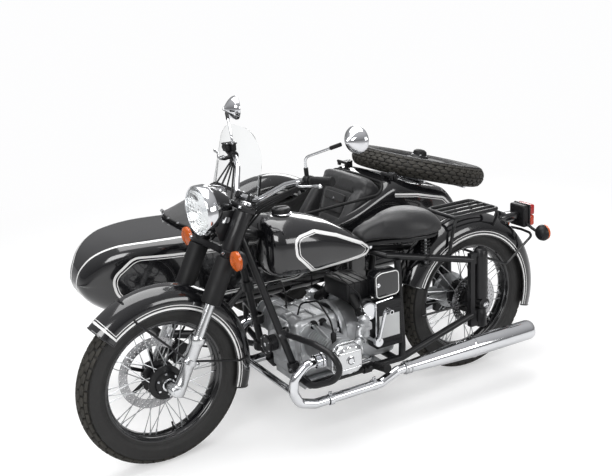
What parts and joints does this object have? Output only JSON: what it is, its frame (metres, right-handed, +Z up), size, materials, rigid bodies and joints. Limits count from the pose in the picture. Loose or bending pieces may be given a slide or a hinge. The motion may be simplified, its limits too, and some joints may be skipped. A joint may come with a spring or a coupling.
{
  "type": "sidecar motorcycle",
  "caption": "Motorcycle with a flat-twin engine and a passenger sidecar on its right, with turning wheels, steering and a trunk lid that carries the spare.",
  "frame": {"origin": "middle of the footprint, on the ground under the wheels", "axes": "+X forward, +Y to the rider's left, +Z up"},
  "size_m": [2.4189, 1.6916, 1.3277],
  "materials": {
    "gloss_black": "gloss",
    "satin_black": "satin",
    "cast_aluminium": "cast",
    "polished_aluminium": "polished",
    "chrome": "mirror",
    "tyre_rubber": "matte",
    "rubber": "matte",
    "saddle_vinyl": "grained",
    "seat_vinyl": "grained",
    "hood_cloth": "satin",
    "clear_screen": "clear",
    "lamp_glass": "fluted",
    "amber_lens": "clear",
    "red_lens": "clear",
    "black_plastic": "matte",
    "steel": "ground"
  },
  "bodies": {
    "outfit": {"frame": "satin_black", "suspension_columns": "satin_black", "engine_block": "cast_aluminium", "cylinders": "cast_aluminium", "valve_covers": "polished_aluminium", "carburettors": "cast_aluminium", "air_box": "black_plastic", "battery_box": "black_plastic", "side_covers": "gloss_black", "fuel_tank": "gloss_black", "fuel_cap": "black_plastic", "rider_saddle": "saddle_vinyl", "saddle_pan": "satin_black", "rear_mudguard": "gloss_black", "rear_rack": "satin_black", "rear_lights": "red_lens", "exhaust_headers": "chrome", "mufflers": "chrome", "crash_bars": "satin_black", "foot_controls": "rubber", "horn": "black_plastic", "final_drive": "cast_aluminium", "sidecar_frame": "satin_black", "sidecar_struts": "satin_black", "sidecar_suspension": "satin_black", "sidecar_tub": "gloss_black", "sidecar_seat": "seat_vinyl", "sidecar_apron": "hood_cloth", "sidecar_screen": "clear_screen", "sidecar_mudguard": "gloss_black"},
    "front_fork": {"fork_yokes": "satin_black", "fork_legs": "polished_aluminium", "front_mudguard": "gloss_black", "headlamp": "gloss_black", "headlamp_glass": "lamp_glass", "handlebar": "chrome", "grips": "rubber", "hand_controls": "black_plastic", "mirrors": "chrome", "front_indicators": "amber_lens", "brake_caliper": "black_plastic"},
    "front_wheel": {"front_tyre": "tyre_rubber", "front_wheel": "satin_black"},
    "rear_wheel": {"rear_tyre": "tyre_rubber", "rear_wheel": "satin_black"},
    "sidecar_wheel": {"sidecar_tyre": "tyre_rubber", "sidecar_wheel": "satin_black"},
    "trunk_lid": {"trunk_lid": "gloss_black", "spare_carrier": "chrome", "spare_tyre": "tyre_rubber", "spare_wheel": "satin_black"}
  },
  "joints": [
    {"name": "steering", "type": "hinge", "parent": "outfit", "child": "front_fork", "pos_m": [0.79449, 0.36955, 0.30909], "axis": [-0.454, 0, 0.891], "range_deg": [-38, 30]},
    {"name": "front_wheel_spin", "type": "hinge", "parent": "front_fork", "child": "front_wheel", "pos_m": [0.8648, 0.37507, 0.34491], "axis": [-0.0622, 0.9976, -0.0317], "continuous": true},
    {"name": "rear_wheel_spin", "type": "hinge", "parent": "outfit", "child": "rear_wheel", "pos_m": [-0.63203, 0.36955, 0.345], "axis": [0, 1, 0], "continuous": true},
    {"name": "sidecar_wheel_spin", "type": "hinge", "parent": "outfit", "child": "sidecar_wheel", "pos_m": [-0.23203, -0.77045, 0.345], "axis": [0, 1, 0], "continuous": true},
    {"name": "trunk_lid_hinge", "type": "hinge", "parent": "outfit", "child": "trunk_lid", "pos_m": [-0.54403, -0.28845, 0.849], "axis": [0, 1, 0], "range_deg": [0, 60]}
  ]
}
